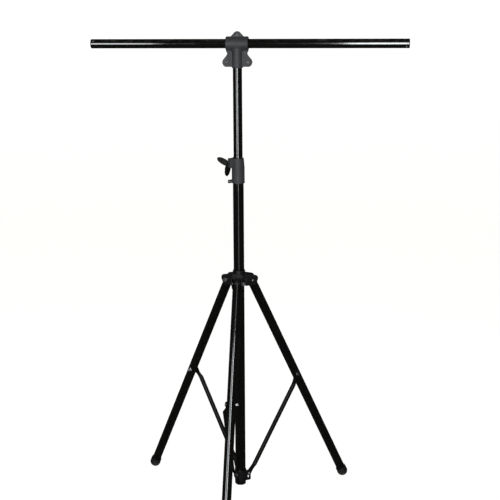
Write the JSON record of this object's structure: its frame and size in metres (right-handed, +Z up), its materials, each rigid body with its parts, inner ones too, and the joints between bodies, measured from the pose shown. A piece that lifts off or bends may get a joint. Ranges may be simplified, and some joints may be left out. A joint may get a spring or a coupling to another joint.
{
  "type": "t-bar lighting stand",
  "caption": "Folding tripod stand with a telescopic mast, clamp collar and horizontal crossbar for hanging stage lights.",
  "frame": {"origin": "on the post axis at floor level", "axes": "+Z up along the post, +X along the crossbar, -Y towards the front leg"},
  "size_m": [1.207, 0.7655, 1.9027],
  "materials": {
    "gloss_black_paint": "gloss",
    "satin_black_paint": "satin",
    "grey_nylon": "matte",
    "black_nylon": "satin",
    "black_plastic": "satin",
    "rubber": "matte",
    "zinc_steel": "satin",
    "black_screw": "satin"
  },
  "bodies": {
    "post": {"lower_tube": "gloss_black_paint", "clamp_collar": "grey_nylon", "clamp_nut": "black_screw", "collar_screw": "black_screw", "mast_bush": "black_plastic", "brace_collar": "satin_black_paint", "tube_end_plug": "black_plastic"},
    "mast_carrier": {"mast_guide": "black_plastic"},
    "mast": {"upper_tube": "gloss_black_paint", "tee_front_shell": "grey_nylon", "tee_rear_shell": "grey_nylon", "tee_screws": "black_screw", "tee_nuts": "black_screw", "crossbar": "gloss_black_paint", "crossbar_caps": "black_plastic", "cap_screws": "zinc_steel"},
    "clamp_knob": {"clamp_knob": "black_nylon", "clamp_stud": "black_screw"},
    "leg_hub": {"hub_sleeve": "satin_black_paint", "hub_bush": "black_plastic", "hub_bracket_front": "satin_black_paint", "hub_bracket_right": "satin_black_paint", "hub_bracket_left": "satin_black_paint", "hub_pivot_bolts": "zinc_steel", "hub_pivot_nuts": "black_screw"},
    "hub_knob": {"hub_knob": "black_nylon", "hub_knob_stud": "zinc_steel"},
    "leg_front": {"leg_tube_front": "gloss_black_paint", "leg_knuckle_front": "black_plastic", "leg_foot_front": "rubber", "brace_bolt_front": "zinc_steel", "brace_nut_front": "zinc_steel"},
    "brace_front": {"brace_front": "gloss_black_paint", "brace_pin_front": "black_screw"},
    "leg_right": {"leg_tube_right": "gloss_black_paint", "leg_knuckle_right": "black_plastic", "leg_foot_right": "rubber", "brace_bolt_right": "zinc_steel", "brace_nut_right": "zinc_steel"},
    "brace_right": {"brace_right": "gloss_black_paint", "brace_pin_right": "black_screw"},
    "leg_left": {"leg_tube_left": "gloss_black_paint", "leg_knuckle_left": "black_plastic", "leg_foot_left": "rubber", "brace_bolt_left": "zinc_steel", "brace_nut_left": "zinc_steel"},
    "brace_left": {"brace_left": "gloss_black_paint", "brace_pin_left": "black_screw"}
  },
  "joints": [
    {"name": "mast_slide", "type": "slide", "parent": "post", "child": "mast_carrier", "axis": [0, 0, 1], "range_m": [-0.31, 0.45]},
    {"name": "mast_turn", "type": "hinge", "parent": "mast_carrier", "child": "mast", "pos_m": [0, 0, 0.751], "axis": [0, 0, 1], "continuous": true},
    {"name": "clamp_knob_turn", "type": "hinge", "parent": "post", "child": "clamp_knob", "pos_m": [-0.03535, 0.0009, 1.3975], "axis": [-0.5299, 0.848, 0], "range_deg": [0, 720]},
    {"name": "hub_slide", "type": "slide", "parent": "post", "child": "leg_hub", "axis": [0, 0, 1], "range_m": [0, 0.1007]},
    {"name": "hub_knob_turn", "type": "hinge", "parent": "leg_hub", "child": "hub_knob", "pos_m": [0, 0.045, 0.946], "axis": [0, 1, 0], "range_deg": [0, 720]},
    {"name": "leg_front_fold", "type": "hinge", "parent": "leg_hub", "child": "leg_front", "pos_m": [0, -0.052, 0.933], "axis": [1, 0, 0], "range_deg": [0, 24.1]},
    {"name": "brace_front_fold", "type": "hinge", "parent": "leg_front", "child": "brace_front", "pos_m": [0, -0.25174, 0.50756], "axis": [-1, 0, 0], "range_deg": [0, 49]},
    {"name": "leg_right_fold", "type": "hinge", "parent": "leg_hub", "child": "leg_right", "pos_m": [0.04503, 0.026, 0.933], "axis": [-0.5, 0.866, 0], "range_deg": [0, 24.1]},
    {"name": "brace_right_fold", "type": "hinge", "parent": "leg_right", "child": "brace_right", "pos_m": [0.21802, 0.12587, 0.50756], "axis": [0.5, -0.866, 0], "range_deg": [0, 49]},
    {"name": "leg_left_fold", "type": "hinge", "parent": "leg_hub", "child": "leg_left", "pos_m": [-0.04503, 0.026, 0.933], "axis": [-0.5, -0.866, 0], "range_deg": [0, 24.1]},
    {"name": "brace_left_fold", "type": "hinge", "parent": "leg_left", "child": "brace_left", "pos_m": [-0.21802, 0.12587, 0.50756], "axis": [0.5, 0.866, 0], "range_deg": [0, 49]}
  ],
  "couplings": [
    {"joint": "leg_front_fold", "follows": "hub_slide", "rad_per_m": 4.1592},
    {"joint": "brace_front_fold", "follows": "hub_slide", "rad_per_m": 8.4678},
    {"joint": "leg_right_fold", "follows": "hub_slide", "rad_per_m": 4.1592},
    {"joint": "brace_right_fold", "follows": "hub_slide", "rad_per_m": 8.4678},
    {"joint": "leg_left_fold", "follows": "hub_slide", "rad_per_m": 4.1592},
    {"joint": "brace_left_fold", "follows": "hub_slide", "rad_per_m": 8.4678}
  ]
}
